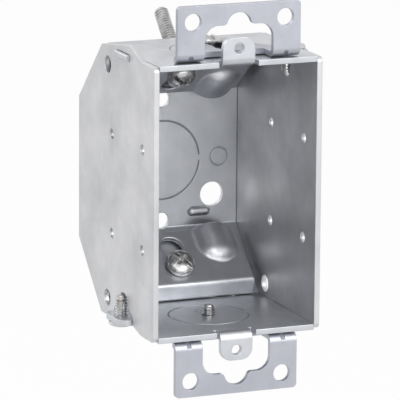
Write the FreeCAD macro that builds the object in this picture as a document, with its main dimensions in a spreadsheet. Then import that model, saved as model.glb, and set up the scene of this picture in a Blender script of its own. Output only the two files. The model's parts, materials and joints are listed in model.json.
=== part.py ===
import FreeCAD, Part
import math
import os
import re
import Sketcher
from FreeCAD import Placement, Rotation, Vector

# Gangable steel device box: one folded sheet with bevelled back corners, two
# removable side plates, two plaster ears, two cable clamps and their screws.
# Millimetres. X to the right, Y from the open front to the back, Z up. The
# origin is in the front plane, midway between the two device tab holes.

doc = FreeCAD.newDocument("DeviceBox")
sheet = doc.addObject("Spreadsheet::Sheet", "Sizes")

sizes = {
    # folded box
    "boxWidth": 49.0,
    "boxHeight": 76.2,
    "boxDepth": 57.15,
    "bevel": 18.0,
    "gauge": 1.6,
    "bendRadius": 0.8,
    "joinGap": 0.02,
    # device tabs
    "tabWidth": 9.4,
    "tabReach": 6.5,
    "tabCorner": 3.2,
    "tabHoleSpacing": 83.34,
    "tabHoleSize": 3.1,
    "reliefWidth": 1.0,
    "reliefDepth": 3.4,
    # knockouts
    "knockoutSize": 22.2,
    "endKnockoutSize": 21.8,
    "pryoutSize": 13.0,
    "pryoutSide": 11.4,
    "slitWidth": 0.4,
    "tieWidth": 1.6,
    # back wall
    "wallHoleSize": 7.0,
    "wallHoleSide": 15.2,
    "wallHoleDrop": 10.8,
    "nailHoleSize": 4.6,
    "nailHoleInset": 2.6,
    "groundRingSize": 4.8,
    "groundRingSide": 17.2,
    "groundRingDepth": 0.5,
    "bridgeLength": 6.8,
    "bridgeWidth": 2.8,
    "bridgeDent": 1.8,
    "bridgeSide": 11.2,
    "bridgeInset": 4.7,
    # gang lug, tongue and gang screw
    "gangPlace": 22.0,
    "lugWidth": 13.0,
    "lugReach": 3.6,
    "lugRoot": 3.6,
    "lugCorner": 3.4,
    "lugWindow": 0.5,
    "tonguePlace": 22.9,
    "tongueWidth": 9.4,
    "tongueReach": 1.0,
    "tongueRound": 0.6,
    "gangScrewOut": 0.7,
    "gangScrewSize": 3.5,
    "gangScrewLength": 7.2,
    "gangHeadSize": 6.9,
    "gangHeadHeight": 1.45,
    # side plates
    "plateInset": 0.3,
    "plateCorner": 1.5,
    "humpRise": 2.8,
    "humpPlace": 17.5,
    "humpStart": 9.0,
    "humpRound": 7.0,
    "notchSlack": 0.6,
    "notchHeight": 9.4,
    "notchTop": 4.8,
    "notchWaist": 6.0,
    "notchWaistRise": 2.4,
    "notchRound": 2.2,
    "slotSlack": 0.1,
    "pinHoleSize": 3.0,
    "pinHoleFront": 8.65,
    "pinHoleBack": 31.4,
    "pinHoleRise": 13.9,
    "cornerHoleSize": 4.8,
    "cornerHoleBack": 34.6,
    "cornerHoleRise": 32.8,
    # plaster ears
    "earWidth": 35.7,
    "earRise": 15.7,
    "earSeat": 0.3,
    "earCorner": 1.2,
    "earHoleSize": 4.8,
    "earHoleSide": 13.4,
    "earHoleRise": 11.3,
    "cutWidth": 19.8,
    "cutRise": 10.0,
    "cutRound": 3.9,
    "lobeWidth": 7.2,
    "lobeRise": 3.35,
    "lobeFlare": 1.2,
    "footStart": 6.5,
    "footLength": 25.0,
    "footWidth": 15.0,
    "footShoulder": 2.6,
    "footTaper": 16.4,
    "footCorner": 2.5,
    "earTravel": 9.4,
    "dartWidth": 2.2,
    "dartSize": 2.4,
    "dentWidth": 1.2,
    "dentSize": 1.9,
    "dartSide": 13.8,
    "earScrewPlace": 20.3,
    "earScrewSize": 3.5,
    "earScrewLength": 6.35,
    "earHeadSize": 6.4,
    "earHeadHeight": 1.7,
    # cable clamps
    "clampWidth": 41.6,
    "clampSlope": 37.0,
    "clampBack": 12.8,
    "clampFront": 7.0,
    "clampFootGap": 0.2,
    "clampBend": 1.9,
    "clampCorner": 2.0,
    "channelSide": 13.6,
    "channelWidth": 12.6,
    "channelRise": 2.8,
    "channelLength": 11.8,
    "noseRound": 3.6,
    "keyholeSize": 6.2,
    "keyholePlace": 7.2,
    "clampHoleSize": 5.2,
    "clampScrewPlace": 6.75,
    "clampScrewHeight": 5.5,
    "clampScrewSize": 4.1,
    "clampScrewLength": 22.2,
    "clampHeadSize": 8.2,
    "clampHeadHeight": 2.7,
    # fits
    "threadGap": 0.06,
    "shankGap": 0.35,
    "headGap": 0.1,
    "driverSlot": 1.0,
    "driverDepth": 0.8,
    "screwPoint": 0.5,
    "headBevel": 0.9,
}

for row, (name, size) in enumerate(sizes.items(), start=1):
    sheet.set(f"A{row}", name)
    sheet.set(f"B{row}", str(size))
    sheet.setAlias(f"B{row}", name)
doc.recompute()


# Places that several pieces share, as expressions in the sheet's names.
halfHeight = "(boxHeight / 2)"
halfWidth = "(boxWidth / 2)"
innerHeight = "(boxHeight / 2 - gauge)"
foldEdge = "(boxWidth / 2 - gauge - joinGap)"
bevelTop = "(boxDepth - bevel)"
bevelSide = "(boxHeight / 2 - bevel)"
gangScrewSide = "(boxWidth / 2 + gangScrewOut)"
earBase = "(boxHeight / 2 + earSeat)"
earTop = "(boxHeight / 2 + earRise)"
cutTop = "(boxHeight / 2 + cutRise)"
# A bend's inner corner lies this far short of its outer one.
bevelInset = "(gauge * tan(22.5))"
# A clamp channel's rounded front end takes this much of its length.
noseReach = "sqrt(noseRound ^ 2 - (noseRound - channelRise) ^ 2)"
# The clamp screw crosses the bevel's outer face here.
screwBack = f"({bevelTop} + clampScrewPlace)"
screwSide = f"({halfHeight} - clampScrewPlace)"
# The clamp's face meets the screw's axis here, clampScrewHeight in from the bevel.
clampBackAt = f"({screwBack} - clampScrewHeight / sqrt(2))"
clampSideAt = f"({screwSide} - clampScrewHeight / sqrt(2))"


def qualified(expression):
    return re.sub(r"[A-Za-z]\w*", lambda word: ("Sizes." if word[0] in sizes else "") + word[0], expression)


def worth(expression):
    return float(sheet.evalExpression(expression))


def bind(thing, prop, expression):
    thing.setExpression(prop, qualified(expression))


def newBody(label):
    body = doc.addObject("PartDesign::Body", label)
    body.Label = label
    return body


def sketchOn(body, name, role, lift="0"):
    sketch = body.newObject("Sketcher::SketchObject", name)
    plane = [item for item in body.Origin.OriginFeatures if item.Role == role][0]
    sketch.AttachmentSupport = [(plane, "")]
    sketch.MapMode = "FlatFace"
    bind(sketch, "AttachmentOffset.Base.z", lift)
    return sketch


# A sketch's constraint of one kind, its value bound to an expression.
def hold(sketch, kind, expression, *where):
    number = sketch.addConstraint(Sketcher.Constraint(kind, *where, worth(expression)))
    bind(sketch, f"Constraints[{number}]", expression)


def pin(sketch, geometry, end, across, along):
    hold(sketch, "DistanceX", across, geometry, end)
    hold(sketch, "DistanceY", along, geometry, end)


def join(sketch, *ends):
    for first, firstEnd, second, secondEnd in ends:
        sketch.addConstraint(Sketcher.Constraint("Coincident", first, firstEnd, second, secondEnd))


def drawOutline(sketch, corners):
    points = [Vector(worth(across), worth(along), 0) for across, along in corners]
    first = sketch.GeometryCount
    count = len(points)
    for index in range(count):
        sketch.addGeometry(Part.LineSegment(points[index], points[(index + 1) % count]), False)
    join(sketch, *[(first + index, 2, first + (index + 1) % count, 1) for index in range(count)])
    for index, (across, along) in enumerate(corners):
        pin(sketch, first + index, 1, across, along)


def drawBox(sketch, left, right, low, high):
    drawOutline(sketch, [(left, low), (right, low), (right, high), (left, high)])


def drawCircle(sketch, across, along, diameter):
    centre = Vector(worth(across), worth(along), 0)
    circle = sketch.addGeometry(Part.Circle(centre, Vector(0, 0, 1), worth(diameter) / 2), False)
    pin(sketch, circle, 3, across, along)
    hold(sketch, "Diameter", diameter, circle)


# A knockout's slit: two half rings, which leave a tie at the left and at the right.
def drawSlit(sketch, across, along, diameter):
    centre = Vector(worth(across), worth(along), 0)
    radii = [f"(({diameter}) / 2 + slitWidth)", f"(({diameter}) / 2)"]
    for side, base in (("+", 0), ("-", math.pi)):
        arcs = []
        for radius in radii:
            reach = worth(radius)
            tie = math.asin(worth("tieWidth / 2") / reach)
            circle = Part.Circle(centre, Vector(0, 0, 1), reach)
            arc = sketch.addGeometry(Part.ArcOfCircle(circle, base + tie, base + math.pi - tie), False)
            pin(sketch, arc, 3, across, along)
            hold(sketch, "Radius", radius, arc)
            for end in (1, 2):
                hold(sketch, "DistanceY", f"{along} {side} tieWidth / 2", arc, end)
            arcs.append(arc)
        for end in (1, 2):
            points = [sketch.getPoint(arc, end) for arc in arcs]
            line = sketch.addGeometry(Part.LineSegment(*points), False)
            join(sketch, (line, 1, arcs[0], end), (line, 2, arcs[1], end))


def pad(body, sketch, length, reverse=False, middle=False):
    feature = body.newObject("PartDesign::Pad", sketch.Name + "Pad")
    feature.Profile = sketch
    bind(feature, "Length", length)
    feature.Reversed = reverse
    feature.Midplane = middle
    doc.recompute()
    if "Invalid" in feature.State:
        raise ValueError(f"{sketch.Name} in {body.Label} fails")
    return feature


# A pocket that takes nothing away points the wrong way, so the volume is compared.
def pocket(body, sketch, depth, reverse=False, middle=False):
    before = body.Shape.Volume
    feature = body.newObject("PartDesign::Pocket", sketch.Name + "Pocket")
    feature.Profile = sketch
    bind(feature, "Length", depth)
    feature.Reversed = reverse
    feature.Midplane = middle
    doc.recompute()
    if body.Shape.Volume > before - 1e-3:
        raise ValueError(f"{sketch.Name} in {body.Label} cuts nothing")
    return feature


# Straight edges along one axis that pass through the given places on the other two.
def edgesAlong(body, axis, places, longest="1000"):
    direction = {"X": Vector(1, 0, 0), "Y": Vector(0, 1, 0), "Z": Vector(0, 0, 1)}[axis]
    found = []
    for index, edge in enumerate(body.Shape.Edges, start=1):
        if edge.Degenerated or not isinstance(edge.Curve, Part.Line):
            continue
        if edge.Curve.Direction.cross(direction).Length > 1e-6:
            continue
        centre = edge.CenterOfMass
        seen = {"X": (centre.y, centre.z), "Y": (centre.x, centre.z), "Z": (centre.x, centre.y)}[axis]
        short = edge.Length < worth(longest) + 0.01
        if short and any(math.dist(seen, place) < 0.01 for place in places):
            found.append(f"Edge{index}")
    return found


def roundEdges(body, name, names, radius):
    if not names:
        raise ValueError(f"{name} in {body.Label} finds no edge")
    base = body.Tip
    feature = body.newObject("PartDesign::Fillet", name)
    feature.Base = (base, names)
    bind(feature, "Radius", radius)
    doc.recompute()
    if "Invalid" in feature.State:
        raise ValueError(f"{name} in {body.Label} fails")
    return feature


def mirrored(across, along):
    return [(across, along), (across, -along)]


def spot(across, along):
    return (worth(across), worth(along))


# The bottom ear, clamp and screws are the top ones turned half a turn about the
# Y axis, and so is the right side plate from the left one.
def stand(body, across, back, up, tilt=0, turned=False):
    turn = Rotation(Vector(0, 1, 0), 180 if turned else 0)
    body.Placement = Placement(Vector(), turn.multiply(Rotation(Vector(1, 0, 0), tilt)))
    sign = "-" if turned else ""
    bind(body, "Placement.Base.x", f"{sign}({across})")
    bind(body, "Placement.Base.y", back)
    bind(body, "Placement.Base.z", f"{sign}({up})")
    doc.recompute()


# A sketch on the outer face of a bevel, its origin at the clamp screw's hole.
def sketchOnBevel(body, name, lower, lift="0"):
    sketch = sketchOn(body, name, "XY_Plane")
    sketch.AttachmentOffset = Placement(Vector(), Rotation(Vector(1, 0, 0), -135 if lower else -45))
    sign = "-" if lower else ""
    bind(sketch, "AttachmentOffset.Base.y", f"{screwBack} + ({lift}) / sqrt(2)")
    bind(sketch, "AttachmentOffset.Base.z", f"{sign}({screwSide} + ({lift}) / sqrt(2))")
    return sketch


def foldSheet(body):
    outer = [("0", halfHeight), (bevelTop, halfHeight), ("boxDepth", bevelSide)]
    inner = [
        ("boxDepth - gauge", f"{bevelSide} - {bevelInset}"),
        (f"{bevelTop} - {bevelInset}", innerHeight),
        ("0", innerHeight),
    ]
    outerLow = [(back, f"-({side})") for back, side in reversed(outer)]
    innerLow = [(back, f"-({side})") for back, side in reversed(inner)]
    sketch = sketchOn(body, "Fold", "YZ_Plane")
    drawOutline(sketch, outer + outerLow + innerLow + inner)
    pad(body, sketch, f"2 * {foldEdge}", middle=True)
    outside = [place for corner in outer[1:] for place in mirrored(*spot(*corner))]
    roundEdges(body, "FoldOutside", edgesAlong(body, "X", outside), "bendRadius + gauge")
    inside = [place for corner in inner[:2] for place in mirrored(*spot(*corner))]
    roundEdges(body, "FoldInside", edgesAlong(body, "X", inside), "bendRadius")


def deviceTabs(body):
    tip = f"({halfHeight} + tabReach)"
    tabs = sketchOn(body, "DeviceTabs", "XZ_Plane")
    for sign in ("", "-"):
        drawBox(tabs, "-tabWidth / 2", "tabWidth / 2", f"{sign}{innerHeight}", f"{sign}{tip}")
    pad(body, tabs, "gauge", reverse=True)
    reliefs = sketchOn(body, "TabReliefs", "XY_Plane")
    for sign in ("", "-"):
        near = f"{sign}(tabWidth / 2)"
        far = f"{sign}(tabWidth / 2 + reliefWidth)"
        drawBox(reliefs, near, far, "0", "reliefDepth")
    pocket(body, reliefs, "boxHeight + 2 * tabReach", middle=True)
    half = worth("tabWidth / 2")
    reach = worth(tip)
    corners = [(side, end) for side in (half, -half) for end in (reach, -reach)]
    roundEdges(body, "TabEnds", edgesAlong(body, "Y", corners), "tabCorner")
    folds = edgesAlong(body, "X", mirrored(0, worth(innerHeight)), "tabWidth")
    roundEdges(body, "TabOutside", folds, "bendRadius + gauge")
    seats = edgesAlong(body, "X", mirrored(*spot("gauge", halfHeight)), "tabWidth")
    roundEdges(body, "TabInside", seats, "bendRadius")
    holes = sketchOn(body, "DeviceHoles", "XZ_Plane")
    drawCircle(holes, "0", "tabHoleSpacing / 2", "tabHoleSize")
    drawCircle(holes, "0", "-tabHoleSpacing / 2", "tabHoleSize")
    pocket(body, holes, "4 * gauge", middle=True)


# Top right and bottom left: a lug, set one gauge inwards, that carries a gang
# screw just outside the side plate. Top left and bottom right: a plain tongue.
def gangCorners(body):
    for name, sign, low, wall in (
        ("Upper", "", f"{halfHeight} - 2 * gauge", innerHeight),
        ("Lower", "-", f"-{innerHeight}", f"-{halfHeight}"),
    ):
        lug = sketchOn(body, name + "Lug", "XY_Plane", low)
        start = f"{sign}({foldEdge} - lugRoot)"
        reach = f"{sign}({halfWidth} + lugReach)"
        drawBox(lug, start, reach, "gangPlace - lugWidth / 2", "gangPlace + lugWidth / 2")
        pad(body, lug, "gauge")
        window = sketchOn(body, name + "LugWindow", "XY_Plane", wall)
        edge = f"{sign}({gangScrewSide} - gangHeadSize / 2 - lugWindow)"
        half = "(lugWidth / 2 + lugWindow)"
        drawBox(window, edge, reach, f"gangPlace - {half}", f"gangPlace + {half}")
        pocket(body, window, "gauge", reverse=True)
        ends = [spot(reach, f"gangPlace {side} lugWidth / 2") for side in "+-"]
        roundEdges(body, name + "LugCorners", edgesAlong(body, "Z", ends), "lugCorner")
        hole = sketchOn(body, name + "LugHole", "XY_Plane", low)
        drawCircle(hole, f"{sign}({gangScrewSide})", "gangPlace", "gangScrewSize + 2 * threadGap")
        pocket(body, hole, "4 * gauge", middle=True)
        tongue = sketchOn(body, name + "Tongue", "XY_Plane", wall)
        side = "" if sign else "-"
        tip = f"{side}({halfWidth} + tongueReach)"
        root = f"{side}({foldEdge} - gauge)"
        drawBox(tongue, root, tip, "tonguePlace - tongueWidth / 2", "tonguePlace + tongueWidth / 2")
        pad(body, tongue, "gauge")
        tips = [spot(tip, level) for level in (wall, f"{wall} + gauge")]
        roundEdges(body, name + "TongueEnd", edgesAlong(body, "Y", tips), "tongueRound")


# Knockouts and pry-outs are sheared round and hang on their ties.
def knockouts(body):
    back = sketchOn(body, "BackKnockout", "XZ_Plane", "-boxDepth")
    drawSlit(back, "0", "0", "knockoutSize")
    pocket(body, back, "4 * gauge", middle=True)
    ends = sketchOn(body, "EndKnockouts", "XY_Plane")
    drawSlit(ends, "0", "earScrewPlace", "endKnockoutSize")
    pocket(body, ends, "boxHeight + 2 * gauge", middle=True)
    for name, lower in (("UpperPryouts", False), ("LowerPryouts", True)):
        bevels = sketchOnBevel(body, name, lower)
        for side in ("", "-"):
            drawSlit(bevels, f"{side}pryoutSide", "(bevel / 2 - clampScrewPlace) * sqrt(2)", "pryoutSize")
        pocket(body, bevels, "4 * gauge", middle=True)
    ground = sketchOn(body, "GroundRing", "XZ_Plane", "-(boxDepth - gauge)")
    drawCircle(ground, "groundRingSide", "0", "groundRingSize + 2 * slitWidth")
    drawCircle(ground, "groundRingSide", "0", "groundRingSize")
    pocket(body, ground, "groundRingDepth")


def wallHoles(body):
    back = sketchOn(body, "BackHoles", "XZ_Plane", "-boxDepth")
    drawCircle(back, "wallHoleSide", "-wallHoleDrop", "wallHoleSize")
    drawCircle(back, "0", f"({bevelSide} - nailHoleInset)", "nailHoleSize")
    drawCircle(back, "0", f"-({bevelSide} - nailHoleInset)", "nailHoleSize")
    pocket(body, back, "4 * gauge", middle=True)
    ends = sketchOn(body, "EarScrewHoles", "XY_Plane")
    drawCircle(ends, "0", "earScrewPlace", "earScrewSize + 2 * threadGap")
    pocket(body, ends, "boxHeight + 2 * gauge", middle=True)
    for name, lower in (("UpperClampHole", False), ("LowerClampHole", True)):
        hole = sketchOnBevel(body, name, lower)
        drawCircle(hole, "0", "0", "clampScrewSize + 2 * threadGap")
        pocket(body, hole, "4 * gauge", middle=True)


# A half outline of a bar with round ends, for turning about the sketch's H axis.
def drawBar(sketch, length, radius):
    reach = worth(radius)
    tip = worth(f"{length} / 2")
    place = f"({length} / 2 - {radius})"
    centre = worth(place)
    facing = Vector(0, 0, 1)
    right = Part.ArcOfCircle(Part.Circle(Vector(centre, 0, 0), facing, reach), 0, math.pi / 2)
    left = Part.ArcOfCircle(Part.Circle(Vector(-centre, 0, 0), facing, reach), math.pi / 2, math.pi)
    top = Part.LineSegment(Vector(centre, reach, 0), Vector(-centre, reach, 0))
    middle = Part.LineSegment(Vector(-tip, 0, 0), Vector(tip, 0, 0))
    right, left, top, middle = [sketch.addGeometry(item, False) for item in (right, left, top, middle)]
    join(sketch, (right, 2, top, 1), (top, 2, left, 1), (left, 2, middle, 1), (middle, 2, right, 1))
    pin(sketch, right, 3, place, "0")
    pin(sketch, left, 3, f"-{place}", "0")
    pin(sketch, middle, 1, f"-{length} / 2", "0")
    pin(sketch, middle, 2, f"{length} / 2", "0")
    hold(sketch, "DistanceX", place, top, 1)
    hold(sketch, "DistanceX", f"-{place}", top, 2)


# A round-ended bridge pressed up from the back wall, with its dent behind it.
def pressedBridge(body):
    drop = f"({bevelSide} - bridgeInset)"
    bar = sketchOn(body, "Bridge", "XZ_Plane", "-(boxDepth - gauge)")
    bind(bar, "AttachmentOffset.Base.x", "bridgeSide")
    bind(bar, "AttachmentOffset.Base.y", f"-{drop}")
    drawBar(bar, "bridgeLength", "(bridgeWidth / 2)")
    bridge = body.newObject("PartDesign::Revolution", "BridgeBar")
    bridge.Profile = bar
    bridge.ReferenceAxis = (bar, ["H_Axis"])
    bridge.Angle = 360
    doc.recompute()
    dent = sketchOn(body, "BridgeDent", "XZ_Plane", "-boxDepth")
    half = "(bridgeLength / 2 - bridgeWidth / 4)"
    low = f"-({drop} + bridgeDent / 2)"
    high = f"-({drop} - bridgeDent / 2)"
    drawBox(dent, f"bridgeSide - {half}", f"bridgeSide + {half}", low, high)
    pocket(body, dent, "bridgeDent / 2", reverse=True)


def makeBox():
    body = newBody("box_body")
    foldSheet(body)
    deviceTabs(body)
    gangCorners(body)
    knockouts(body)
    wallHoles(body)
    pressedBridge(body)
    return body


def makeSidePlate(label, turned):
    body = newBody(label)
    edge = f"({halfHeight} - plateInset)"
    hump = f"({halfHeight} + humpRise)"
    notch = "(lugWidth / 2 + notchSlack)"
    shelf = f"({halfHeight} - 2 * gauge - notchSlack)"
    waist = f"({shelf} - notchWaistRise)"
    crown = f"({halfHeight} - notchHeight)"
    outline = sketchOn(body, "Plate", "YZ_Plane", f"-{halfWidth}")
    drawOutline(outline, [
        ("0", f"-{edge}"),
        ("humpStart", f"-{edge}"),
        (f"gangPlace - {notch}", f"-{innerHeight}"),
        (f"gangPlace - {notch}", f"-{shelf}"),
        ("gangPlace - notchWaist / 2", f"-{waist}"),
        ("gangPlace - notchTop / 2", f"-{crown}"),
        ("gangPlace + notchTop / 2", f"-{crown}"),
        ("gangPlace + notchWaist / 2", f"-{waist}"),
        (f"gangPlace + {notch}", f"-{shelf}"),
        (f"gangPlace + {notch}", f"-{edge}"),
        (bevelTop, f"-{edge}"),
        ("boxDepth - plateInset", f"-{bevelSide}"),
        ("boxDepth - plateInset", bevelSide),
        (bevelTop, edge),
        ("humpPlace", hump),
        ("humpStart", edge),
        ("0", edge),
    ])
    pad(body, outline, "gauge")
    roundEdges(body, "FrontCorners", edgesAlong(body, "X", mirrored(*spot("0", edge))), "plateCorner")
    swells = [spot("humpStart", edge), spot("humpPlace", hump), spot("humpStart", f"-{edge}")]
    roundEdges(body, "HumpRounds", edgesAlong(body, "X", swells), "humpRound")
    crowns = [spot(f"gangPlace {side} notchTop / 2", f"-{crown}") for side in "+-"]
    roundEdges(body, "NotchRounds", edgesAlong(body, "X", crowns), "notchRound")
    slot = sketchOn(body, "TongueSlot", "YZ_Plane", f"-{halfWidth}")
    low = f"{innerHeight} - slotSlack"
    high = f"{halfHeight} + slotSlack"
    near = "tonguePlace - tongueWidth / 2 - slotSlack"
    far = "tonguePlace + tongueWidth / 2 + slotSlack"
    drawBox(slot, near, far, low, high)
    pocket(body, slot, "4 * gauge", middle=True)
    holes = sketchOn(body, "PlateHoles", "YZ_Plane", f"-{halfWidth}")
    for sign in ("", "-"):
        drawCircle(holes, "pinHoleFront", f"{sign}pinHoleRise", "pinHoleSize")
        drawCircle(holes, "pinHoleBack", f"{sign}pinHoleRise", "pinHoleSize")
        drawCircle(holes, "cornerHoleBack", f"{sign}cornerHoleRise", "cornerHoleSize")
    pocket(body, holes, "4 * gauge", middle=True)
    stand(body, "0", "0", "0", turned=turned)
    return body


def makeEar(label, turned):
    body = newBody(label)
    half = "(earWidth / 2)"
    foot = sketchOn(body, "Foot", "XY_Plane", earBase)
    narrow = "(footWidth / 2)"
    drawOutline(foot, [
        (f"-{half}", "0"),
        (half, "0"),
        (half, "footShoulder"),
        (narrow, "footShoulder + footTaper"),
        (narrow, "footLength"),
        (f"-{narrow}", "footLength"),
        (f"-{narrow}", "footShoulder + footTaper"),
        (f"-{half}", "footShoulder"),
    ])
    pad(body, foot, "gauge")
    flange = sketchOn(body, "Flange", "XZ_Plane")
    drawBox(flange, f"-{half}", half, earBase, earTop)
    pad(body, flange, "gauge", reverse=True)
    roundEdges(body, "BendOutside", edgesAlong(body, "X", [spot("0", earBase)]), "bendRadius + gauge")
    inner = [spot("gauge", f"{earBase} + gauge")]
    roundEdges(body, "BendInside", edgesAlong(body, "X", inner), "bendRadius")
    cut = sketchOn(body, "CutOut", "XZ_Plane")
    drawBox(cut, "-cutWidth / 2", "cutWidth / 2", f"{earBase} - gauge", cutTop)
    pocket(body, cut, "footStart")
    lobe = sketchOn(body, "Lobe", "XZ_Plane")
    lobeCentre = f"({cutTop} + lobeRise - lobeWidth / 2)"
    drawCircle(lobe, "0", lobeCentre, "lobeWidth")
    pocket(body, lobe, "4 * gauge", middle=True)
    cutCorners = [spot(f"{sign}cutWidth / 2", cutTop) for sign in ("", "-")]
    roundEdges(body, "CutRounds", edgesAlong(body, "Y", cutCorners), "cutRound")
    lobeHalf = f"sqrt((lobeWidth / 2) ^ 2 - ({cutTop} - {lobeCentre}) ^ 2)"
    lobeFeet = [spot(f"{sign}{lobeHalf}", cutTop) for sign in ("", "-")]
    roundEdges(body, "LobeFlares", edgesAlong(body, "Y", lobeFeet), "lobeFlare")
    tops = [spot(f"{sign}{half}", earTop) for sign in ("", "-")]
    roundEdges(body, "EarCorners", edgesAlong(body, "Y", tops), "earCorner")
    heels = [spot(f"{sign}{narrow}", "footLength") for sign in ("", "-")]
    roundEdges(body, "FootCorners", edgesAlong(body, "Z", heels), "footCorner")
    slot = sketchOn(body, "AdjustingSlot", "XY_Plane", earBase)
    slotHalf = "(earScrewSize / 2 + shankGap)"
    near = f"earScrewPlace - earTravel - {slotHalf}"
    far = f"earScrewPlace + {slotHalf}"
    drawBox(slot, f"-{slotHalf}", slotHalf, near, far)
    pocket(body, slot, "4 * gauge", middle=True)
    ends = [spot(f"{sign}{slotHalf}", end) for sign in ("", "-") for end in (near, far)]
    roundEdges(body, "SlotRounds", edgesAlong(body, "Z", ends), f"{slotHalf} - joinGap")
    holes = sketchOn(body, "EarHoles", "XZ_Plane")
    for sign in ("", "-"):
        drawCircle(holes, f"{sign}earHoleSide", f"{halfHeight} + earHoleRise", "earHoleSize")
    pocket(body, holes, "4 * gauge", middle=True)
    for name, sign in (("Right", ""), ("Left", "-")):
        pressDart(body, name, f"{sign}dartSide")
    stand(body, "0", "0", "0", turned=turned)
    return body


# A dart pressed into the bend: a rib inside the angle and a dent outside it.
def pressDart(body, name, side):
    rib = sketchOn(body, name + "Dart", "YZ_Plane", f"{side} - dartWidth / 2")
    seat = f"{earBase} + gauge"
    drawOutline(rib, [("gauge", seat), ("gauge + dartSize", seat), ("gauge", f"{seat} + dartSize")])
    pad(body, rib, "dartWidth")
    dent = sketchOn(body, name + "Dent", "YZ_Plane", side)
    drawOutline(dent, [("0", earBase), ("dentSize", earBase), ("0", f"{earBase} + dentSize")])
    pocket(body, dent, "dentWidth", middle=True)


# A clamp in its own frame: the plate lies in XY with the screw hole at the
# origin, Y along the slope to the rear edge and Z towards the inside of the box.
def makeClamp(label, turned):
    body = newBody(label)
    reach = f"({innerHeight} - clampFootGap - {clampSideAt} - clampFront * sin(clampSlope))"
    footBack = f"(-clampFront - {reach} * sin(clampSlope))"
    footDrop = f"(-{reach} * cos(clampSlope))"
    inside = "(-clampFront + gauge * (cos(clampSlope) - (1 - sin(clampSlope)) * tan(clampSlope)))"
    profile = sketchOn(body, "ClampFold", "YZ_Plane")
    drawOutline(profile, [
        ("clampBack", "0"),
        ("-clampFront", "0"),
        (footBack, footDrop),
        (f"{footBack} + gauge * cos(clampSlope)", f"{footDrop} - gauge * sin(clampSlope)"),
        (inside, "-gauge"),
        ("clampBack", "-gauge"),
    ])
    pad(body, profile, "clampWidth", middle=True)
    roundEdges(body, "ClampBendOut", edgesAlong(body, "X", [spot("-clampFront", "0")]), "clampBend")
    for name, side in (("Right", ""), ("Left", "-")):
        pressChannel(body, name, f"({side}channelSide)")
    roundNoses(body)
    holes = {"Keyhole": ("keyholePlace", "keyholeSize"), "ScrewHole": ("0", "clampHoleSize")}
    for name, (place, size) in holes.items():
        hole = sketchOn(body, name, "XY_Plane")
        drawCircle(hole, "0", place, size)
        pocket(body, hole, "4 * gauge", middle=True)
    neck = sketchOn(body, "KeyholeNeck", "XY_Plane")
    drawBox(neck, "-clampHoleSize / 2", "clampHoleSize / 2", "0", "keyholePlace")
    pocket(body, neck, "4 * gauge", middle=True)
    rear = [spot(f"{sign}clampWidth / 2", "clampBack") for sign in ("", "-")]
    roundEdges(body, "ClampCorners", edgesAlong(body, "Z", rear), "clampCorner")
    stand(body, "0", clampBackAt, f"-{clampSideAt}", tilt=worth("clampSlope"), turned=turned)
    return body


# A closed outline of an arc over a level chord. The bulge gives the arc's radius.
def drawArch(sketch, middle, half, level, radius):
    left = Vector(worth(f"{middle} - {half}"), worth(level), 0)
    right = Vector(worth(f"{middle} + {half}"), worth(level), 0)
    bend = worth(radius)
    sag = math.sqrt(bend ** 2 - worth(half) ** 2)
    centre = Vector(worth(middle), worth(level) - sag, 0)
    start = math.atan2(right.y - centre.y, right.x - centre.x)
    circle = Part.Circle(centre, Vector(0, 0, 1), bend)
    arc = sketch.addGeometry(Part.ArcOfCircle(circle, start, math.pi - start), False)
    chord = sketch.addGeometry(Part.LineSegment(left, right), False)
    join(sketch, (arc, 2, chord, 1), (chord, 2, arc, 1))
    pin(sketch, chord, 1, f"{middle} - {half}", level)
    pin(sketch, chord, 2, f"{middle} + {half}", level)
    hold(sketch, "Radius", radius, arc)


# A cable channel pressed up from the plate, open at the rear edge.
def pressChannel(body, name, side):
    height = "(channelRise + gauge / 2)"
    radius = f"((channelWidth ^ 2 / 4 + {height} ^ 2) / (2 * {height}))"
    axis = f"(channelRise - {radius})"
    crest = sketchOn(body, name + "Channel", "XZ_Plane", "-clampBack")
    drawArch(crest, side, "(channelWidth / 2)", "(-gauge / 2)", radius)
    pad(body, crest, "channelLength")
    level = "(-gauge - slotSlack)"
    hollowRadius = f"({radius} - gauge)"
    hollowHalf = f"sqrt({hollowRadius} ^ 2 - ({level} - {axis}) ^ 2)"
    hollow = sketchOn(body, name + "Hollow", "XZ_Plane", "-clampBack")
    drawArch(hollow, side, hollowHalf, level, hollowRadius)
    pocket(body, hollow, f"channelLength - {noseReach}", reverse=True)


# The channels' front ends are rounded down to the plate in one cut across both.
def roundNoses(body):
    nose = sketchOn(body, "ChannelNoses", "YZ_Plane")
    tip = "(clampBack - channelLength)"
    crest = f"({tip} + {noseReach})"
    centre = Vector(worth(crest), worth("channelRise - noseRound"), 0)
    circle = Part.Circle(centre, Vector(0, 0, 1), worth("noseRound"))
    foot, corner, top = [
        Vector(worth(across), worth(along), 0)
        for across, along in ((tip, "0"), (tip, "channelRise"), (crest, "channelRise"))
    ]
    bend = math.atan2(foot.y - centre.y, foot.x - centre.x)
    arc = nose.addGeometry(Part.ArcOfCircle(circle, math.pi / 2, bend), False)
    upright = nose.addGeometry(Part.LineSegment(foot, corner), False)
    level = nose.addGeometry(Part.LineSegment(corner, top), False)
    join(nose, (arc, 2, upright, 1), (upright, 2, level, 1), (level, 2, arc, 1))
    pin(nose, upright, 1, tip, "0")
    pin(nose, upright, 2, tip, "channelRise")
    pin(nose, level, 2, crest, "channelRise")
    hold(nose, "Radius", "noseRound", arc)
    pocket(body, nose, "clampWidth", middle=True)


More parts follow.
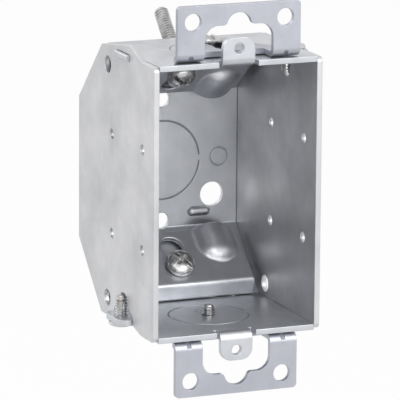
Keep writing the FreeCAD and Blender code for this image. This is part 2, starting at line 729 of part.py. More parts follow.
# A screw in its own frame: the underside of the head at the origin, head upwards.
def makeScrew(label, size, length, headSize, headHeight):
    body = newBody(label)
    shank = f"({size} / 2)"
    rim = f"({headSize} / 2)"
    profile = sketchOn(body, "Profile", "XZ_Plane")
    drawOutline(profile, [
        ("0", headHeight),
        (f"{rim} - headBevel", headHeight),
        (rim, f"{headHeight} - headBevel"),
        (rim, "0"),
        (shank, "0"),
        (shank, f"screwPoint - {length}"),
        (f"{shank} - screwPoint", f"-{length}"),
        ("0", f"-{length}"),
    ])
    turned = body.newObject("PartDesign::Revolution", "Turned")
    turned.Profile = profile
    turned.ReferenceAxis = (profile, ["V_Axis"])
    turned.Angle = 360
    doc.recompute()
    driver = sketchOn(body, "DriverSlot", "XY_Plane", headHeight)
    drawBox(driver, f"-{rim} - driverSlot", f"{rim} + driverSlot", "-driverSlot / 2", "driverSlot / 2")
    pocket(body, driver, "driverDepth")
    return body


def makeScrews():
    screws = []
    for name, turned in (("top", False), ("bottom", True)):
        screw = makeScrew(
            f"{name}_ear_screw", "earScrewSize", "earScrewLength", "earHeadSize", "earHeadHeight"
        )
        stand(screw, "0", "earScrewPlace", f"{earBase} + gauge + headGap", turned=turned)
        screws.append(screw)
    for name, turned in (("right", False), ("left", True)):
        screw = makeScrew(
            f"{name}_gang_screw", "gangScrewSize", "gangScrewLength", "gangHeadSize", "gangHeadHeight"
        )
        stand(screw, gangScrewSide, "gangPlace", innerHeight, turned=turned)
        screws.append(screw)
    lift = "((clampHeadSize / 2 * tan(45 - clampSlope) + headGap) / sqrt(2))"
    for name, turned in (("lower", False), ("upper", True)):
        screw = makeScrew(
            f"{name}_clamp_screw", "clampScrewSize", "clampScrewLength", "clampHeadSize", "clampHeadHeight"
        )
        stand(screw, "0", f"{clampBackAt} - {lift}", f"-({clampSideAt} - {lift})", tilt=45, turned=turned)
        screws.append(screw)
    return screws


pieces = [
    makeBox(),
    makeSidePlate("left_side_plate", False),
    makeSidePlate("right_side_plate", True),
    makeEar("top_ear", False),
    makeEar("bottom_ear", True),
    makeClamp("lower_cable_clamp", False),
    makeClamp("upper_cable_clamp", True),
] + makeScrews()
doc.recompute()

for item in doc.Objects:
    if "Invalid" in item.State or "Error" in item.State:
        raise ValueError(f"{item.Label} failed: {item.State}")

os.makedirs("parts", exist_ok=True)
for piece in pieces:
    if piece.Shape.isNull() or not piece.Shape.isValid() or len(piece.Shape.Solids) != 1:
        raise ValueError(f"{piece.Label} is not one valid solid")
    piece.Shape.exportStep(f"parts/{piece.Label}.step")
    print(piece.Label, round(piece.Shape.Volume, 1))
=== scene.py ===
import json
import math

import bmesh
import bpy
from mathutils import Matrix, Vector

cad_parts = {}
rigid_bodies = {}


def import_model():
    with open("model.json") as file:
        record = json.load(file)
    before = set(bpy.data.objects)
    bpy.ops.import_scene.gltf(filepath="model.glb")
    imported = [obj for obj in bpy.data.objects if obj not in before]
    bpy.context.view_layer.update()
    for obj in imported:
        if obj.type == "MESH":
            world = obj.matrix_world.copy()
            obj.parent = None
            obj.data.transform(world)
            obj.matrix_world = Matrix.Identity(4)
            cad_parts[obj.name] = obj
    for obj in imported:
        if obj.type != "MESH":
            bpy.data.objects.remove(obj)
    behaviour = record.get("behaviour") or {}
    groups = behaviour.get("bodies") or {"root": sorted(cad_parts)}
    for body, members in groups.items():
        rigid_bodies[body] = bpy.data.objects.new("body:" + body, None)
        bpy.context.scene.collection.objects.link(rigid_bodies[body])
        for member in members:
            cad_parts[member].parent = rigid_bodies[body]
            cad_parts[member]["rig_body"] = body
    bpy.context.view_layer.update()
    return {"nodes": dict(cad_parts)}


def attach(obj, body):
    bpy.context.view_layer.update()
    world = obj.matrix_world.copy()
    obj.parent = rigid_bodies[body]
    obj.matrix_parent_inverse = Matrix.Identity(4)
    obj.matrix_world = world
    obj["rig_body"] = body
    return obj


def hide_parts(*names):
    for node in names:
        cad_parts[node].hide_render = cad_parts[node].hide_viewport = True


# Gangable steel device box: galvanised sheet parts with soft sheared edges, and
# bright zinc-plated screws with real threads. Metres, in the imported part's frame.

mm = 0.001
weldMm = 0.002  # corners nearer than this are one corner

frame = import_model()
nodes = frame["nodes"]
print("frame loaded with", len(nodes), "nodes")


def linear(colour):
    parts = [int(colour[place:place + 2], 16) / 255 for place in (1, 3, 5)]
    bent = [part / 12.92 if part <= 0.04045 else ((part + 0.055) / 1.055) ** 2.4 for part in parts]
    return bent + [1.0]


# Settings are attributes of the node or values of its sockets; links come from other
# nodes' outputs. A Mix node's sockets are 0 factor, 2 and 3 numbers, 6 and 7 colours.
def addNode(tree, kind, settings=None, links=None):
    node = tree.nodes.new(kind)
    for name, value in (settings or {}).items():
        if isinstance(name, str) and hasattr(node, name):
            setattr(node, name, value)
        else:
            node.inputs[name].default_value = value
    for name, source in (links or {}).items():
        tree.links.new(source, node.inputs[name])
    return node


def newMaterial(name):
    material = bpy.data.materials.new(name)
    material.use_nodes = True
    material.node_tree.nodes.clear()
    return material, material.node_tree


def scaleFor(sizeMm):
    return 1 / (sizeMm * mm)


# Galvanised sheet steel, hot-dipped and skin-passed: a pale grey metal whose zinc
# crystals barely show, with long soft blotches from the rolls and a fine tooth.
# It is a little less than all metal, because the zinc's skin of oxide is dull.
sheetFinish = {
    "blotchMm": 16.0,
    "blotchRange": (0.35, 0.68),
    "blotchDetail": 4.0,
    "blotchRoughness": 0.55,
    "spangleMm": 3.2,
    "spangleShare": 0.22,
    "rollMm": 1.1,
    "rollStretch": 0.08,
    "rollShare": 0.18,
    "rollDetail": 2.0,
    "toothMm": 0.35,
    "toothDepthMm": 0.004,
    "toothStrength": 0.6,
    "toothDetail": 3.0,
    "waveMm": 30.0,
    "waveDepthMm": 0.10,
    "waveDetail": 1.0,
    "metallic": 0.9,
}


def galvanisedSteel(name, pale, dull, roughLow, roughHigh, shift=(0.0, 0.0, 0.0)):
    finish = sheetFinish
    material, tree = newMaterial(name)
    coordinates = addNode(tree, "ShaderNodeTexCoord")
    placed = addNode(tree, "ShaderNodeMapping", {"Location": shift},
                     {"Vector": coordinates.outputs["Object"]})
    spot = placed.outputs["Vector"]
    blotch = addNode(tree, "ShaderNodeTexNoise",
                     {"Scale": scaleFor(finish["blotchMm"]), "Detail": finish["blotchDetail"],
                      "Roughness": finish["blotchRoughness"]}, {"Vector": spot})
    wave = addNode(tree, "ShaderNodeTexNoise",
                   {"Scale": scaleFor(finish["waveMm"]), "Detail": finish["waveDetail"]},
                   {"Vector": spot})
    spangle = addNode(tree, "ShaderNodeTexVoronoi",
                      {"Scale": scaleFor(finish["spangleMm"]), "feature": "F1"}, {"Vector": spot})
    crystal = addNode(tree, "ShaderNodeRGBToBW", {}, {"Color": spangle.outputs["Color"]})
    tooth = addNode(tree, "ShaderNodeTexNoise",
                    {"Scale": scaleFor(finish["toothMm"]), "Detail": finish["toothDetail"]},
                    {"Vector": spot})
    stretch = addNode(tree, "ShaderNodeMapping",
                      {"Scale": (1.0, 1.0, finish["rollStretch"])}, {"Vector": spot})
    roll = addNode(tree, "ShaderNodeTexNoise",
                   {"Scale": scaleFor(finish["rollMm"]), "Detail": finish["rollDetail"]},
                   {"Vector": stretch.outputs["Vector"]})
    low, high = finish["blotchRange"]
    cloudy = addNode(tree, "ShaderNodeMapRange", {"From Min": low, "From Max": high},
                     {"Value": blotch.outputs["Fac"]})
    mottle = addNode(tree, "ShaderNodeMix", {"Factor": finish["spangleShare"]},
                     {2: cloudy.outputs["Result"], 3: crystal.outputs["Val"]})
    streaked = addNode(tree, "ShaderNodeMix", {"Factor": finish["rollShare"]},
                       {2: mottle.outputs["Result"], 3: roll.outputs["Fac"]})
    colour = addNode(tree, "ShaderNodeMix",
                     {"data_type": "RGBA", 6: linear(pale), 7: linear(dull)},
                     {0: streaked.outputs["Result"]})
    rough = addNode(tree, "ShaderNodeMapRange", {"To Min": roughLow, "To Max": roughHigh},
                    {"Value": streaked.outputs["Result"]})
    tone = addNode(tree, "ShaderNodeBump",
                   {"Strength": 1.0, "Distance": finish["waveDepthMm"] * mm},
                   {"Height": wave.outputs["Fac"]})
    relief = addNode(tree, "ShaderNodeBump",
                     {"Strength": finish["toothStrength"],
                      "Distance": finish["toothDepthMm"] * mm},
                     {"Height": tooth.outputs["Fac"], "Normal": tone.outputs["Normal"]})
    shader = addNode(tree, "ShaderNodeBsdfPrincipled", {"Metallic": finish["metallic"]},
                     {"Base Color": colour.outputs[2], "Roughness": rough.outputs["Result"],
                      "Normal": relief.outputs["Normal"]})
    addNode(tree, "ShaderNodeOutputMaterial", {}, {"Surface": shader.outputs["BSDF"]})
    return material


# Zinc-plated steel screws: brighter and glossier than the sheet, faintly warm,
# dulled in patches where the plating is thin.
screwFinish = {
    "patchMm": 2.5,
    "patchRange": (0.4, 0.65),
    "patchDetail": 3.0,
    "grainMm": 0.25,
    "grainDepthMm": 0.004,
    "grainStrength": 0.5,
    "grainDetail": 2.0,
    "roughness": (0.16, 0.34),
}


def zincPlated(name, pale, dull):
    finish = screwFinish
    material, tree = newMaterial(name)
    coordinates = addNode(tree, "ShaderNodeTexCoord")
    spot = coordinates.outputs["Object"]
    patch = addNode(tree, "ShaderNodeTexNoise",
                    {"Scale": scaleFor(finish["patchMm"]), "Detail": finish["patchDetail"]},
                    {"Vector": spot})
    grain = addNode(tree, "ShaderNodeTexNoise",
                    {"Scale": scaleFor(finish["grainMm"]), "Detail": finish["grainDetail"]},
                    {"Vector": spot})
    low, high = finish["patchRange"]
    worn = addNode(tree, "ShaderNodeMapRange", {"From Min": low, "From Max": high},
                   {"Value": patch.outputs["Fac"]})
    colour = addNode(tree, "ShaderNodeMix",
                     {"data_type": "RGBA", 6: linear(pale), 7: linear(dull)},
                     {0: worn.outputs["Result"]})
    smooth, matt = finish["roughness"]
    rough = addNode(tree, "ShaderNodeMapRange", {"To Min": smooth, "To Max": matt},
                    {"Value": worn.outputs["Result"]})
    relief = addNode(tree, "ShaderNodeBump",
                     {"Strength": finish["grainStrength"],
                      "Distance": finish["grainDepthMm"] * mm},
                     {"Height": grain.outputs["Fac"]})
    shader = addNode(tree, "ShaderNodeBsdfPrincipled", {"Metallic": 1.0},
                     {"Base Color": colour.outputs[2], "Roughness": rough.outputs["Result"],
                      "Normal": relief.outputs["Normal"]})
    addNode(tree, "ShaderNodeOutputMaterial", {}, {"Surface": shader.outputs["BSDF"]})
    return material


# One sheet after another from the same mill: the shift keeps their blotches apart.
foldedSteel = galvanisedSteel("galvanised folded sheet", "#D0D2D6", "#B3B6BA", 0.32, 0.48)
plateSteel = galvanisedSteel("galvanised side plate", "#D6D6D8", "#BBBCBF", 0.34, 0.48,
                             (0.31, 0.17, 0.05))
earSteel = galvanisedSteel("galvanised plaster ear", "#B9BBC3", "#A5A7B0", 0.38, 0.50,
                           (0.13, 0.41, 0.22))  # thinner coat, bluer and more even
# The clamps' paler base colour is painted light: it brightens them where they sit in the shade
# inside the box.
clampSteelPaintedLight = galvanisedSteel("galvanised clamp with painted light", "#DBDCE0", "#BCBEC3", 0.28, 0.42,
                             (0.07, 0.29, 0.38))  # glossier from the pressing; its paler colour is painted light for the box's shade
# Darker than the sheet: the bare sheared steel's own tone, with painted shade for the narrow
# knockout slits.
shearedSteelAndPaintedShade = galvanisedSteel("sheared steel edge and painted slit shade", "#A2A3A6", "#85868A", 0.50, 0.62)
screwZinc = zincPlated("bright zinc plating", "#D2D2D3", "#B2B0AE")
print("materials made")


def addObject(name, data):
    made = bpy.data.objects.new(name, data)
    bpy.context.scene.collection.objects.link(made)
    return made


# The mesh of a bmesh, which is freed.
def meshOf(bm, name):
    mesh = bpy.data.meshes.new(name)
    bm.to_mesh(mesh)
    bm.free()
    return mesh


# The mesh that an object's modifiers give.
def modifiedMesh(item):
    graph = bpy.context.evaluated_depsgraph_get()
    return bpy.data.meshes.new_from_object(item.evaluated_get(graph))


def finishPiece(bm, name, material, body):
    bmesh.ops.recalc_face_normals(bm, faces=bm.faces)
    mesh = meshOf(bm, name)
    mesh.materials.append(material)
    piece = addObject(name, mesh)
    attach(piece, body)
    return piece


def weld(bm):
    bmesh.ops.remove_doubles(bm, verts=bm.verts, dist=weldMm * mm)


def shadeSmooth(bm):
    for face in bm.faces:
        face.smooth = True


def sharpEdges(bm, degrees):
    limit = math.radians(degrees)
    return [edge for edge in bm.edges
            if len(edge.link_faces) == 2 and edge.calc_face_angle(0) > limit]


def bevelEdges(bm, edges, roundMm, segments, clamped):
    bmesh.ops.bevel(bm, geom=edges, offset=roundMm * mm, offset_type="OFFSET",
                    segments=segments, profile=0.5, affect="EDGES", clamp_overlap=clamped,
                    material=-1)


# A full turn about the vertical axis.
def turnRound(bm, parts, steps):
    bmesh.ops.spin(bm, geom=parts, cent=(0, 0, 0), axis=(0, 0, 1), angle=2 * math.pi,
                   steps=steps, use_merge=True)
    weld(bm)


# Sheared sheet has softly rounded edges, which catch the light all round. The back
# wall's bridge and round hole almost touch, so their edges are rounded less.
sheetEdge = {
    "roundMm": 0.16,
    "earRoundMm": 0.10,
    "crowdedRoundMm": 0.05,
    "crowdedPlaceMm": (13.6, 56.3, -12.9),
    "crowdedReachMm": 6.6,
    "segments": 2,
    "sharpDegrees": 28,
    "flatDegrees": 0.05,
}


def roundSheet(bm, roundMm, crowded):
    place = Vector(sheetEdge["crowdedPlaceMm"]) * mm
    reach = sheetEdge["crowdedReachMm"] * mm
    chosen = []
    for edge in sharpEdges(bm, sheetEdge["sharpDegrees"]):
        middle = (edge.verts[0].co + edge.verts[1].co) / 2
        if ((middle - place).length < reach) == crowded:
            chosen.append(edge)
    bevelEdges(bm, chosen, roundMm, sheetEdge["segments"], False)


def softenSheet(nodeName, pieceName, material, roundMm):
    cad = nodes[nodeName]
    bm = bmesh.new()
    bm.from_mesh(cad.data)
    weld(bm)
    bmesh.ops.dissolve_limit(bm, angle_limit=math.radians(sheetEdge["flatDegrees"]),
                             verts=bm.verts, edges=bm.edges)
    roundSheet(bm, sheetEdge["crowdedRoundMm"], True)
    roundSheet(bm, roundMm, False)
    shadeSmooth(bm)
    piece = finishPiece(bm, pieceName, material, cad["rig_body"])
    weighted = piece.modifiers.new("flat faces stay flat", "WEIGHTED_NORMAL")
    weighted.keep_sharp = True
    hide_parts(nodeName)


softenSheet("box_body", "folded_box", foldedSteel, sheetEdge["roundMm"])
softenSheet("left_side_plate", "left_plate", plateSteel, sheetEdge["roundMm"])
softenSheet("right_side_plate", "right_plate", plateSteel, sheetEdge["roundMm"])
softenSheet("top_ear", "top_plaster_ear", earSteel, sheetEdge["earRoundMm"])
softenSheet("bottom_ear", "bottom_plaster_ear", earSteel, sheetEdge["earRoundMm"])
print("sheet pieces softened")


# A clamp strap is pressed, so its two cable channels end in round noses and flow
# into the plate. It is worked in its own frame: plate level, X across, Y to the rear.
strap = {
    "cellMm": 0.28,
    "placeMm": (0.0, 42.011, -27.461),
    "slopeDegrees": 37.0,
    "channelSideMm": 13.6,
    "archRadiusMm": 7.3125,
    "archRiseMm": 2.8,
    "noseTipMm": 0.7,
    "noseEndMm": 6.3,
    "noseFullness": 2.15,
    "leanDegrees": 12.0,
    "bendMm": 7.0,
    "flareMm": 8.6,
    "frontMm": -1.5,
    "rearMm": 11.6,
    "skinMm": -0.1,
    "evenPasses": 4,
    "flarePasses": 14,
}


# The domed nose in front of each arch: its plan and its profile are both full rounds.
def noseHeight(across, along):
    reach = (strap["noseEndMm"] - along) / (strap["noseEndMm"] - strap["noseTipMm"])
    fullness = strap["noseFullness"]
    share = max(1 - reach ** fullness, 0.0) ** (1 / fullness)
    radius = strap["archRadiusMm"]
    if across >= share * radius:
        return 0.0
    arch = math.sqrt(radius * radius - (across / share) ** 2) - radius + strap["archRiseMm"]
    return max(share * arch, 0.0)


def relax(bm, verts, passes):
    for _ in range(passes):
        bmesh.ops.smooth_vert(bm, verts=verts, factor=0.5,
                              use_axis_x=True, use_axis_y=True, use_axis_z=True)


# The metal round the channels' front halves, with its noses raised.
def raiseNoses(bm):
    flare = []
    for vert in bm.verts:
        across = abs(abs(vert.co.x) / mm - strap["channelSideMm"])
        along = vert.co.y / mm
        onTop = vert.normal.z > 0 and vert.co.z > strap["skinMm"] * mm
        if onTop and across < strap["flareMm"] and strap["frontMm"] < along < strap["rearMm"]:
            flare.append(vert)
            if along < strap["noseEndMm"] and vert.co.z > 0:
                vert.co.z = noseHeight(across, along) * mm
    return flare


# The front flange hangs from the bend and leans back under the plate.
def leanFlange(bm):
    level = math.radians(strap["slopeDegrees"])
    bend = strap["bendMm"] * mm
    for vert in bm.verts:
        below = -(vert.co.y + bend) * math.sin(level) - vert.co.z * math.cos(level)
        if vert.co.y < -bend and below > 0:
            lean = below * math.tan(math.radians(strap["leanDegrees"]))
            vert.co.y += lean * math.cos(level)
            vert.co.z -= lean * math.sin(level)


def pressStrap(nodeName, pieceName, turned):
    cad = nodes[nodeName]
    place = (Matrix.Rotation(math.pi if turned else 0, 4, "Y")
             @ Matrix.Translation(Vector(strap["placeMm"]) * mm)
             @ Matrix.Rotation(math.radians(strap["slopeDegrees"]), 4, "X"))
    flat = cad.data.copy()
    flat.transform(place.inverted())
    blank = addObject("blank", flat)
    cells = blank.modifiers.new("even cells", "REMESH")
    cells.mode = "VOXEL"
    cells.voxel_size = strap["cellMm"] * mm
    bm = bmesh.new()
    bm.from_mesh(modifiedMesh(blank))
    bpy.data.objects.remove(blank)
    bm.normal_update()
    flare = raiseNoses(bm)
    relax(bm, bm.verts, strap["evenPasses"])
    relax(bm, flare, strap["flarePasses"])
    leanFlange(bm)
    bmesh.ops.transform(bm, matrix=place, verts=bm.verts)
    shadeSmooth(bm)
    piece = finishPiece(bm, pieceName, clampSteelPaintedLight, cad["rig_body"])
    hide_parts(nodeName)


pressStrap("lower_cable_clamp", "lower_clamp_strap", False)
pressStrap("upper_cable_clamp", "upper_clamp_strap", True)
print("clamp straps pressed")


# The sheared metal in the slit round each knockout and pry-out, darker than the sheet: partly the
# bare steel's own tone, partly painted shade of the narrow slit.
# Each ring has its size, its centre on the sheet's outer face and the way out.
shear = {
    "slitMm": 0.4,
    "overlapMm": 0.03,
    "depthsMm": (0.16, 1.44),
    "steps": 72,
    "rings": [
        (22.2, (0.0, 57.15, 0.0), (0, 1, 0)),
        (21.8, (0.0, 20.3, 38.1), (0, 0, 1)),
        (21.8, (0.0, 20.3, -38.1), (0, 0, -1)),
        (13.0, (11.4, 48.15, 29.1), (0, 1, 1)),
        (13.0, (-11.4, 48.15, 29.1), (0, 1, 1)),
        (13.0, (11.4, 48.15, -29.1), (0, 1, -1)),
        (13.0, (-11.4, 48.15, -29.1), (0, 1, -1)),
    ],
}


def shearRings():
    whole = bmesh.new()
    high, low = [-depth * mm for depth in shear["depthsMm"]]
    for sizeMm, centreMm, outward in shear["rings"]:
        bm = bmesh.new()
        inner = (sizeMm / 2 - shear["overlapMm"]) * mm
        outer = (sizeMm / 2 + shear["slitMm"] + shear["overlapMm"]) * mm
        corners = [bm.verts.new((side, 0, level))
                   for side, level in ((inner, low), (outer, low), (outer, high), (inner, high))]
        lines = [bm.edges.new((corner, corners[index - 1]))
                 for index, corner in enumerate(corners)]
        turnRound(bm, corners + lines, shear["steps"])
        turn = Vector(outward).to_track_quat("Z", "Y").to_matrix().to_4x4()
        place = Matrix.Translation(Vector(centreMm) * mm) @ turn
        bmesh.ops.transform(bm, matrix=place, verts=bm.verts)
        whole.from_mesh(meshOf(bm, "ring"))
    finishPiece(whole, "knockout_shear_rings", shearedSteelAndPaintedShade, "box")


shearRings()
print("knockout slits filled")


# One pitch of a thread, spun up a helix. Depth, crest and root are shares of the
# pitch. The lead starts the helix so far below the tip that no corner of it lies on
# the plane of the cut, where the tip would stay open.
threadForm = {
    "pitchMm": 25.4 / 32,
    "steps": 28,
    "depth": 0.56,
    "crest": 0.14,
    "root": 0.16,
    "lead": 1.37,
    "creaseDegrees": 35,
}


def spinHelix(bm, parts, turns, steps):
    rise = threadForm["pitchMm"] * mm / steps
    bmesh.ops.spin(bm, geom=parts, cent=(0, 0, 0), axis=(0, 0, 1), dvec=(0, 0, rise),
                   angle=2 * math.pi * turns, steps=steps * turns)


# Cuts off what lies past a level, up or down, and gives the edges of the cut.
def cutOff(bm, level, way):
    cut = bmesh.ops.bisect_plane(bm, geom=bm.verts[:] + bm.edges[:] + bm.faces[:],
                                 plane_co=(0, 0, level), plane_no=(0, 0, way),
                                 clear_outer=True)
    return [item for item in cut["geom_cut"] if isinstance(item, bmesh.types.BMEdge)]


# Low and high are the thread's ends on its own Z axis.
def spinThread(bm, outerMm, low, high):
    pitch = threadForm["pitchMm"] * mm
    outer = outerMm / 2 * mm
    inner = outer - threadForm["depth"] * pitch
    crest = threadForm["crest"] / 2
    root = threadForm["root"] / 2
    turns = math.ceil((high - low) / pitch) + 2
    profile = [(inner, 0), (inner, root), (outer, 0.5 - crest),
               (outer, 0.5 + crest), (inner, 1 - root), (inner, 1)]
    start = low - threadForm["lead"] * pitch
    corners = [bm.verts.new((side, 0, start + share * pitch)) for side, share in profile]
    lines = [bm.edges.new(pair) for pair in zip(corners, corners[1:])]
    spinHelix(bm, corners + lines, turns, threadForm["steps"])
    weld(bm)
    for level, way in ((low, -1), (high, 1)):
        bmesh.ops.edgeloop_fill(bm, edges=cutOff(bm, level, way))


screws = {
    "ear": {"sizeMm": 3.5, "headMm": 6.4, "tallMm": 1.7, "lengthMm": 6.35,
            "slotMm": 1.0, "crossMm": 0},
    "gang": {"sizeMm": 3.5, "headMm": 6.9, "tallMm": 1.45, "lengthMm": 7.2,
             "slotMm": 1.1, "crossMm": 0},
    "clamp": {"sizeMm": 4.1, "headMm": 8.2, "tallMm": 2.7, "lengthMm": 22.2,
              "slotMm": 1.2, "crossMm": 4.6},
}
# Shares of the head's height: its upright rim, and how far the thread goes into it.
headForm = {
    "arcSteps": 7,
    "crownPower": 0.7,
    "rimShare": 0.30,
    "spin": 48,
    "edgeMm": 0.10,
    "edgeSegments": 2,
    "edgeDegrees": 38,
    "intoHead": 0.2,
    "tipMm": 0.7,
    "tipSlope": 0.8,
}


def spinHead(screw):
    bm = bmesh.new()
    rim = screw["headMm"] / 2 * mm
    tall = screw["tallMm"] * mm
    side = tall * headForm["rimShare"]
    corners = [bm.verts.new((0, 0, 0)), bm.verts.new((rim, 0, 0))]
    for step in range(headForm["arcSteps"] + 1):
        turn = math.radians(90 * step / headForm["arcSteps"])
        out = rim * math.cos(turn) ** headForm["crownPower"]
        corners.append(bm.verts.new((out, 0, side + (tall - side) * math.sin(turn))))
    lines = [bm.edges.new(pair) for pair in zip(corners, corners[1:])]
    turnRound(bm, corners + lines, headForm["spin"])
    bmesh.ops.recalc_face_normals(bm, faces=bm.faces)
    return bm


# The driver recess: a slot right across, and on the larger heads a tapered cross.
# The slot's length is a share of the head's width, the depths shares of its height.
recess = {
    "slotLength": 1.2,
    "slotDepth": 0.5,
    "crossDepth": 0.8,
    "crossWideMm": 1.0,
    "crossTaper": 0.35,
    "aboveMm": 0.5,
}


def addBar(bm, long, wide, deep, top, turn):
    made = bmesh.ops.create_cube(bm, size=1)
    bmesh.ops.scale(bm, vec=(long, wide, deep), verts=made["verts"])
    bmesh.ops.translate(bm, vec=(0, 0, top - deep / 2), verts=made["verts"])
    bmesh.ops.rotate(bm, cent=(0, 0, 0), matrix=Matrix.Rotation(turn, 3, "Z"),
                     verts=made["verts"])
    return made["verts"]


def recessCutters(screw):
    slot = bmesh.new()
    tall = screw["tallMm"] * mm
    above = recess["aboveMm"] * mm
    deep = tall * recess["slotDepth"]
    addBar(slot, recess["slotLength"] * screw["headMm"] * mm, screw["slotMm"] * mm,
           deep + above, tall + above, 0)
    cutters = [slot]
    if screw["crossMm"]:
        cross = bmesh.new()
        depth = tall * recess["crossDepth"]
        verts = addBar(cross, screw["crossMm"] * mm, recess["crossWideMm"] * mm,
                       depth + above, tall + above, math.pi / 2)
        for vert in verts:
            if vert.co.z < tall - depth / 2:
                vert.co.y *= recess["crossTaper"]
        cutters.append(cross)
    return cutters


def cutAway(bm, cutters):
    blank = addObject("blank", meshOf(bm, "blank"))
    tools = []
    for cutter in cutters:
        bmesh.ops.recalc_face_normals(cutter, faces=cutter.faces)
        tool = addObject("cutter", meshOf(cutter, "cutter"))
        carve = blank.modifiers.new("recess", "BOOLEAN")
        carve.operation = "DIFFERENCE"
        carve.solver = "EXACT"
        carve.object = tool
        tools.append(tool)
    result = bmesh.new()
    result.from_mesh(modifiedMesh(blank))
    for item in tools + [blank]:
        bpy.data.objects.remove(item)
    return result


# The screw's own frame on the part: its tip at the low end of the axis, its head at
# the high end.
def screwPlace(nodeName, axis, turnDegrees):
    axis = Vector(axis).normalized()
    across = axis.orthogonal().normalized()
    beside = axis.cross(across)
    points = [vert.co for vert in nodes[nodeName].data.vertices]
    spans = [(min(way.dot(point) for point in points), max(way.dot(point) for point in points))
             for way in (across, beside, axis)]
    middle = across * (sum(spans[0]) / 2) + beside * (sum(spans[1]) / 2) + axis * spans[2][0]
    basis = Matrix((across, beside, axis)).transposed().to_4x4()
    turn = Matrix.Rotation(math.radians(turnDegrees), 4, "Z")
    return Matrix.Translation(middle) @ basis @ turn


# Draws the thread in to a blunt cone at its tip.
def pointTip(bm, sizeMm):
    tip = headForm["tipMm"] * mm
    for vert in bm.verts:
        reach = math.hypot(vert.co.x, vert.co.y)
        limit = sizeMm / 2 * mm - max(tip - vert.co.z, 0) * headForm["tipSlope"]
        if reach > limit:
            vert.co.x *= limit / reach
            vert.co.y *= limit / reach


def makeScrew(nodeName, pieceName, kind, axis, turnDegrees):
    screw = screws[kind]
    length = screw["lengthMm"] * mm
    head = cutAway(spinHead(screw), recessCutters(screw))
    bevelEdges(head, sharpEdges(head, headForm["edgeDegrees"]), headForm["edgeMm"],
               headForm["edgeSegments"], True)
    bmesh.ops.translate(head, vec=(0, 0, length), verts=head.verts)
    bm = bmesh.new()
    spinThread(bm, screw["sizeMm"], 0.0, length + headForm["intoHead"] * screw["tallMm"] * mm)
    pointTip(bm, screw["sizeMm"])
    bm.from_mesh(meshOf(head, "head"))
    bmesh.ops.transform(bm, matrix=screwPlace(nodeName, axis, turnDegrees), verts=bm.verts)
    shadeSmooth(bm)
    for edge in sharpEdges(bm, threadForm["creaseDegrees"]):
        edge.smooth = False
    piece = finishPiece(bm, pieceName, screwZinc, nodes[nodeName]["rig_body"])
    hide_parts(nodeName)


makeScrew("top_ear_screw", "top_ear_threaded_screw", "ear", (0, 0, 1), 35)
makeScrew("bottom_ear_screw", "bottom_ear_threaded_screw", "ear", (0, 0, -1), 70)
makeScrew("right_gang_screw", "right_gang_threaded_screw", "gang", (0, 0, 1), 15)
makeScrew("left_gang_screw", "left_gang_threaded_screw", "gang", (0, 0, -1), 60)
makeScrew("upper_clamp_screw", "upper_clamp_threaded_screw", "clamp", (0, -1, -1), 20)
makeScrew("lower_clamp_screw", "lower_clamp_threaded_screw", "clamp", (0, -1, 1), 75)
print("screws made")


# The tapped thread inside each device tab's hole, a ridge on the hole's wall.
tabThread = {
    "holeMm": 3.1,
    "spacingMm": 83.34,
    "standMm": 0.2,
    "bedMm": 0.03,
    "foot": (0.06, 0.94),
    "crest": (0.42, 0.58),
    "sheetMm": 1.6,
    "insetMm": 0.12,
    "steps": 24,
}


def tapHole(pieceName, side):
    bm = bmesh.new()
    wall = tabThread["holeMm"] / 2 * mm
    pitch = threadForm["pitchMm"] * mm
    tip = wall - tabThread["standMm"] * mm
    base = wall + tabThread["bedMm"] * mm
    sheet = tabThread["sheetMm"] * mm
    inset = tabThread["insetMm"] * mm
    turns = math.ceil(sheet / pitch) + 2
    (footLow, footHigh), (crestLow, crestHigh) = tabThread["foot"], tabThread["crest"]
    shape = [(base, footLow), (tip, crestLow), (tip, crestHigh), (base, footHigh)]
    corners = [bm.verts.new((reach, 0, (share - 1) * pitch)) for reach, share in shape]
    lines = [bm.edges.new((corner, corners[index - 1])) for index, corner in enumerate(corners)]
    spinHelix(bm, corners + lines, turns, tabThread["steps"])
    for level, way in ((inset, -1), (sheet - inset, 1)):
        bmesh.ops.holes_fill(bm, edges=cutOff(bm, level, way))
    upright = Matrix.Rotation(math.radians(-90), 4, "X")
    place = Matrix.Translation((0, 0, side * tabThread["spacingMm"] / 2 * mm))
    bmesh.ops.transform(bm, matrix=place @ upright, verts=bm.verts)
    finishPiece(bm, pieceName, foldedSteel, "box")


tapHole("upper_tab_thread", 1)
tapHole("lower_tab_thread", -1)
print("tab threads made")


studio = {
    "floorLevelM": -0.16,
    "floorSizeM": 12.0,
    "floorColour": "#F4F4F5",
    "floorGlow": 0.95,
    "worldColour": "#FFFFFF",
    "worldShade": 0.55,
}


# One for rays from the camera or from a gloss, so that both see the white.
def seenByEye(tree):
    path = addNode(tree, "ShaderNodeLightPath")
    seen = addNode(tree, "ShaderNodeMath", {"operation": "MAXIMUM"},
                   {0: path.outputs["Is Camera Ray"], 1: path.outputs["Is Glossy Ray"]})
    return seen.outputs["Value"]


# The floor renders white to the eye and in the metal, and keeps some of its shadow.
def makeFloor():
    bpy.ops.mesh.primitive_plane_add(size=studio["floorSizeM"],
                                     location=(0, 0, studio["floorLevelM"]))
    floor = bpy.context.object
    floor.name = "floor"
    material, tree = newMaterial("white paper sweep")
    share = addNode(tree, "ShaderNodeMath", {"operation": "MULTIPLY", 1: studio["floorGlow"]},
                    {0: seenByEye(tree)})
    paper = addNode(tree, "ShaderNodeBsdfDiffuse", {"Color": linear(studio["floorColour"])})
    glow = addNode(tree, "ShaderNodeEmission", {"Color": (1, 1, 1, 1), "Strength": 1.0})
    mixed = addNode(tree, "ShaderNodeMixShader", {},
                    {0: share.outputs["Value"], 1: paper.outputs["BSDF"],
                     2: glow.outputs["Emission"]})
    addNode(tree, "ShaderNodeOutputMaterial", {}, {"Surface": mixed.outputs["Shader"]})
    floor.data.materials.append(material)


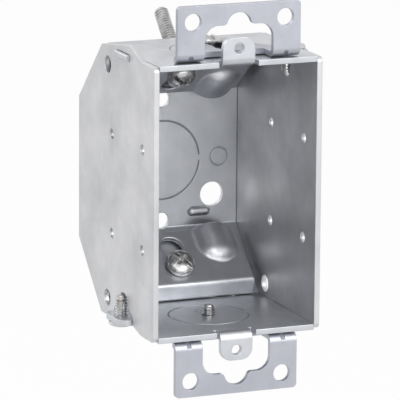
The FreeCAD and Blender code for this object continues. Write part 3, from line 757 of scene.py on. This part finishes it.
def makeWorld():
    world = bpy.data.worlds.new("studio")
    world.use_nodes = True
    tree = world.node_tree
    tree.nodes.clear()
    strength = addNode(tree, "ShaderNodeMapRange",
                       {"To Min": studio["worldShade"], "To Max": 1.0},
                       {"Value": seenByEye(tree)})
    light = addNode(tree, "ShaderNodeBackground", {"Color": linear(studio["worldColour"])},
                    {"Strength": strength.outputs["Result"]})
    addNode(tree, "ShaderNodeOutputWorld", {}, {"Surface": light.outputs["Background"]})
    bpy.context.scene.world = world


# Places and sizes in metres. Each one faces the middle of the box's opening.
softboxes = {
    "key": {"place": (-0.75, -0.85, 0.95), "size": 0.7, "watts": 4.0},
    "fill": {"place": (0.5, -0.9, 0.62), "size": 0.55, "watts": 4.0},
    "front": {"place": (0.0, -1.25, 0.05), "size": 1.6, "watts": 6.5},
    "back": {"place": (-0.5, 0.9, 0.7), "size": 0.7, "watts": 2.0},
}


def makeSoftbox(name, box):
    light = bpy.data.lights.new(name, "AREA")
    light.size = box["size"]
    light.energy = box["watts"]
    lamp = addObject(name, light)
    lamp.location = box["place"]
    lamp.rotation_euler = (-Vector(box["place"])).to_track_quat("-Z", "Y").to_euler()


# The photograph's viewing angle, with its focal length in the photograph's pixels.
view = {
    "placeMm": (-433.88, -1030.86, 247.31),
    "yawDegrees": 22.3,
    "downDegrees": 12.47,
    "rollDegrees": 0.42,
    "pixelFocal": 4245,
    "framePixels": 400,
    "sensorMm": 36.0,
    "nearM": 0.05,
    "farM": 50,
}


def makeCamera():
    data = bpy.data.cameras.new("camera")
    data.sensor_fit = "HORIZONTAL"
    data.sensor_width = view["sensorMm"]
    data.lens = view["pixelFocal"] / view["framePixels"] * view["sensorMm"]
    data.clip_start = view["nearM"]
    data.clip_end = view["farM"]
    camera = addObject("camera", data)
    yaw = math.radians(view["yawDegrees"])
    down = math.radians(view["downDegrees"])
    roll = math.radians(view["rollDegrees"])
    forward = Vector((math.sin(yaw) * math.cos(down), math.cos(yaw) * math.cos(down),
                      -math.sin(down)))
    level = Vector((math.cos(yaw), -math.sin(yaw), 0))
    upright = level.cross(forward)
    right = level * math.cos(roll) + upright * math.sin(roll)
    up = -level * math.sin(roll) + upright * math.cos(roll)
    turn = Matrix((right, up, -forward)).transposed().to_4x4()
    camera.matrix_world = Matrix.Translation(Vector(view["placeMm"]) * mm) @ turn
    bpy.context.scene.camera = camera


makeFloor()
makeWorld()
for lampName, lampBox in softboxes.items():
    makeSoftbox(lampName, lampBox)
makeCamera()
bpy.context.scene.view_settings.view_transform = "Standard"
print("studio ready")
